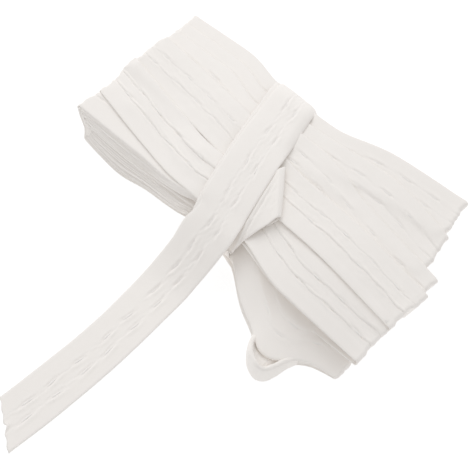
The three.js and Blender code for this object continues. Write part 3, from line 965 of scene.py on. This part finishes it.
def tape_material(name, colour, shade):
    """Woven tape: fine ribs, a little unevenness of the white, and a faint painted warm glow standing in for
    light through the cloth.
    """
    material, root = empty_material(name)
    uv = root.node("ShaderNodeUVMap", {"uv_map": "tape"}, "UV")
    split = root.node("ShaderNodeSeparateXYZ", Vector=uv)
    along, across = (Wire(root.tree, split.outputs[k]) for k in ("X", "Y"))
    warp = (across * (2 * math.pi / WARP_PITCH)).math("SINE")
    weft = (along * (2 * math.pi / WEFT_PITCH)).math("SINE")
    cloudy, fibres = (
        root.node("ShaderNodeTexNoise", None, "Fac", Vector=uv, Scale=scale, Detail=detail)
        for scale, detail in ((1.6, 3.0), (24.0, 4.0))
    )
    tone = (cloudy * 0.6 + fibres * 0.4).math("SMOOTH_MIN", 1.0, 0.1, clamp=True)
    height = warp * weft * 0.35 + fibres * 0.65
    cloth = root.node(
        "ShaderNodeBsdfPrincipled", None, "BSDF",
        Base_Color=tone.mix(shade, colour),
        Roughness=0.92,
        Normal=root.node("ShaderNodeBump", None, "Normal", Strength=0.35, Distance=0.00012, Height=height),
        Sheen_Weight=0.12,
        Sheen_Roughness=0.6,
        Specular_IOR_Level=0.25,
        # Painted light: a faint warm glow over all the cloth stands in for light passing through the thin tape
        # and lifts its shaded gaps
        Emission_Color=(1.0, 0.9, 0.78, 1.0),
        Emission_Strength=0.05,
    )
    root.node("ShaderNodeOutputMaterial", Surface=cloth)
    return material


def cord_material():
    """Drawcord: a tight white twist, a little whiter than the cloth."""
    material, root = empty_material("cord_white")
    spot = root.node("ShaderNodeTexCoord", None, "Object")
    strands = root.node("ShaderNodeTexNoise", None, "Fac", Vector=spot, Scale=2600.0, Detail=3.0)
    cord = root.node(
        "ShaderNodeBsdfPrincipled", None, "BSDF",
        Base_Color=strands.mix((0.87, 0.85, 0.83), (0.92, 0.9, 0.88)),
        Roughness=0.85,
        Normal=root.node("ShaderNodeBump", None, "Normal", Strength=0.4, Distance=0.0001, Height=strands),
        Specular_IOR_Level=0.25,
    )
    root.node("ShaderNodeOutputMaterial", Surface=cord)
    return material


def cord_tree(material):
    """Geometry nodes that lay a short bare length of drawcord on each point."""
    tree = bpy.data.node_groups.new("bare_cords", "GeometryNodeTree")
    names = (("Geometry", "Geometry"), ("Cord radius", "Float"), ("Sides", "Int"))
    _, radius, sides = (
        tree.interface.new_socket(name, in_out="INPUT", socket_type="NodeSocket" + kind) for name, kind in names
    )
    tree.interface.new_socket("Geometry", in_out="OUTPUT", socket_type="NodeSocketGeometry")
    root = Wire(tree)
    begin = root.node("NodeGroupInput")
    points, thick, around = (Wire(tree, begin.outputs[k]) for k in ("Geometry", "Cord radius", "Sides"))

    def named(name, kind):
        node = root.node("GeometryNodeInputNamedAttribute", {"data_type": kind}, Name=name)
        return Wire(tree, next(out for out in node.outputs if out.enabled and out.name == "Attribute"))

    length = root.node("GeometryNodeMeshUVSphere", None, "Mesh", Segments=around, Rings=6, Radius=1.0)
    turn = "FunctionNodeAlignRotationToVector"
    along = root.node(turn, {"axis": "X"}, "Rotation", Vector=named("direction", "FLOAT_VECTOR"))
    upright = root.node(
        turn, {"axis": "Z", "pivot_axis": "X"}, "Rotation",
        Rotation=along, Vector=named("up", "FLOAT_VECTOR"),
    )
    size = root.node("ShaderNodeCombineXYZ", None, "Vector", X=named("reach", "FLOAT"), Y=thick, Z=thick)
    laid = root.node(
        "GeometryNodeInstanceOnPoints", None, "Instances",
        Points=points, Instance=length, Rotation=upright, Scale=size,
    )
    whole = root.node("GeometryNodeRealizeInstances", None, "Geometry", Geometry=laid)
    finished = root.node("GeometryNodeSetMaterial", None, "Geometry", Geometry=whole, Material=material)
    root.node("NodeGroupOutput", Geometry=finished)
    return tree, radius.identifier, sides.identifier


def build_bare_cords(name, spots, recipe):
    """The lengths of drawcord that lie bare in the slits of the cloth, as one plain mesh."""
    tree, radius, sides = recipe
    points = bpy.data.meshes.new(name + "_points")
    points.from_pydata([place(spot[0]).tolist() for spot in spots], [], [])
    for label, k in (("direction", 1), ("up", 2)):
        attribute = points.attributes.new(label, "FLOAT_VECTOR", "POINT")
        vectors = np.array([spot[k] for spot in spots], dtype=np.float32)
        attribute.data.foreach_set("vector", vectors.ravel())
    reach = points.attributes.new("reach", "FLOAT", "POINT")
    reach.data.foreach_set("value", np.array([spot[3] * MM for spot in spots], dtype=np.float32))
    carrier = bpy.data.objects.new(name + "_points", points)
    bpy.context.scene.collection.objects.link(carrier)
    modifier = carrier.modifiers.new("bare_cords", "NODES")
    modifier.node_group = tree
    modifier[radius] = BARE_CORD_RADIUS * MM
    modifier[sides] = 8
    evaluated = carrier.evaluated_get(bpy.context.evaluated_depsgraph_get())
    mesh = bpy.data.meshes.new_from_object(evaluated)
    mesh.name = name
    bpy.data.objects.remove(carrier)
    return piece_of(name, mesh)


def floor_material():
    """A white sweep that glows a little, so that it stays paler than the cloth."""
    material, root = empty_material("paper_white")
    paper = root.node(
        "ShaderNodeBsdfPrincipled", None, "BSDF",
        Base_Color=(0.3, 0.3, 0.3, 1), Roughness=1.0, Specular_IOR_Level=0.0,
        Emission_Color=(1, 1, 1, 1), Emission_Strength=0.8,
    )
    root.node("ShaderNodeOutputMaterial", Surface=paper)
    return material


def add_key_light():
    """The large soft lamp that shines on the hank."""
    lamp = bpy.data.lights.new("key", "AREA")
    lamp.shape = "DISK"
    lamp.size = KEY_SIZE
    lamp.energy = KEY_POWER
    item = bpy.data.objects.new("key", lamp)
    toward = Vector(KEY_DIRECTION).normalized()
    item.location = toward * KEY_DISTANCE + Vector((0, 0.03, 0))
    item.rotation_euler = toward.to_track_quat("Z", "Y").to_euler()
    bpy.context.scene.collection.objects.link(item)


def set_the_scene():
    """Camera, floor, soft studio light and plain colours."""
    scene = bpy.context.scene
    azimuth, elevation = (math.radians(a) for a in (CAMERA_AZIMUTH, CAMERA_ELEVATION))
    back = Vector((
        math.sin(azimuth) * math.cos(elevation),
        -math.cos(azimuth) * math.cos(elevation),
        math.sin(elevation),
    ))
    lens = bpy.data.cameras.new("photo_camera")
    lens.sensor_width = SENSOR
    lens.lens = SENSOR * FOCAL_PIXELS / IMAGE_SIDE
    lens.clip_end = 20.0
    camera = bpy.data.objects.new("photo_camera", lens)
    camera.location = Vector(place(CAMERA_TARGET)) + back * CAMERA_DISTANCE * MM
    camera.rotation_euler = back.to_track_quat("Z", "Y").to_euler()
    scene.collection.objects.link(camera)
    scene.camera = camera

    bpy.ops.mesh.primitive_plane_add(size=6.0, location=(0, 0, -0.0002))
    floor = bpy.context.object
    floor.name = "floor"
    floor.data.materials.append(floor_material())
    floor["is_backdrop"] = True

    world = bpy.data.worlds.new("studio")
    world.use_nodes = True
    background = world.node_tree.nodes["Background"]
    background.inputs["Color"].default_value = (1, 1, 1, 1)
    background.inputs["Strength"].default_value = WORLD_STRENGTH
    scene.world = world
    add_key_light()
    scene.view_settings.view_transform = "Standard"


def finish_piece(piece):
    """Attaches a piece of tape to the root body."""
    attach(piece, "root")


def build():
    """The whole hank."""
    white = tape_material("tape_white", (0.885, 0.855, 0.83), (0.85, 0.82, 0.79))
    hank_pieces = []
    turns, field = wind_turns()
    for turn in turns:
        piece, along = turn.make(white, field)
        finish_piece(piece)
        hank_pieces.append(piece)
    for make, rests_on in (
        (build_under_wrap, "turn_top"), (build_folded_corner, "turn_top"), (build_loop, "floor"),
    ):
        piece, along = make(white)
        finish_piece(piece)
        hank_pieces.append(piece)
    loose, along, loose_spots = build_loose_end(white)
    finish_piece(loose)
    recipe = cord_tree(cord_material())
    hank_spots = [spot for turn in turns for spot in turn.spots]
    hank_cords = build_bare_cords("bare_cords_hank", hank_spots, recipe)
    loose_cords = build_bare_cords("bare_cords_loose_end", loose_spots, recipe)
    for piece in (hank_cords, loose_cords):
        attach(piece, "root")
    for piece in (*hank_pieces, hank_cords):
        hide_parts("wound_hank")
    for piece in (loose, loose_cords):
        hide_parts("loose_end")


set_the_scene()
build()
low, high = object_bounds()
{"cad": [list(cad_low), list(cad_high)], "visual": [list(low), list(high)]}
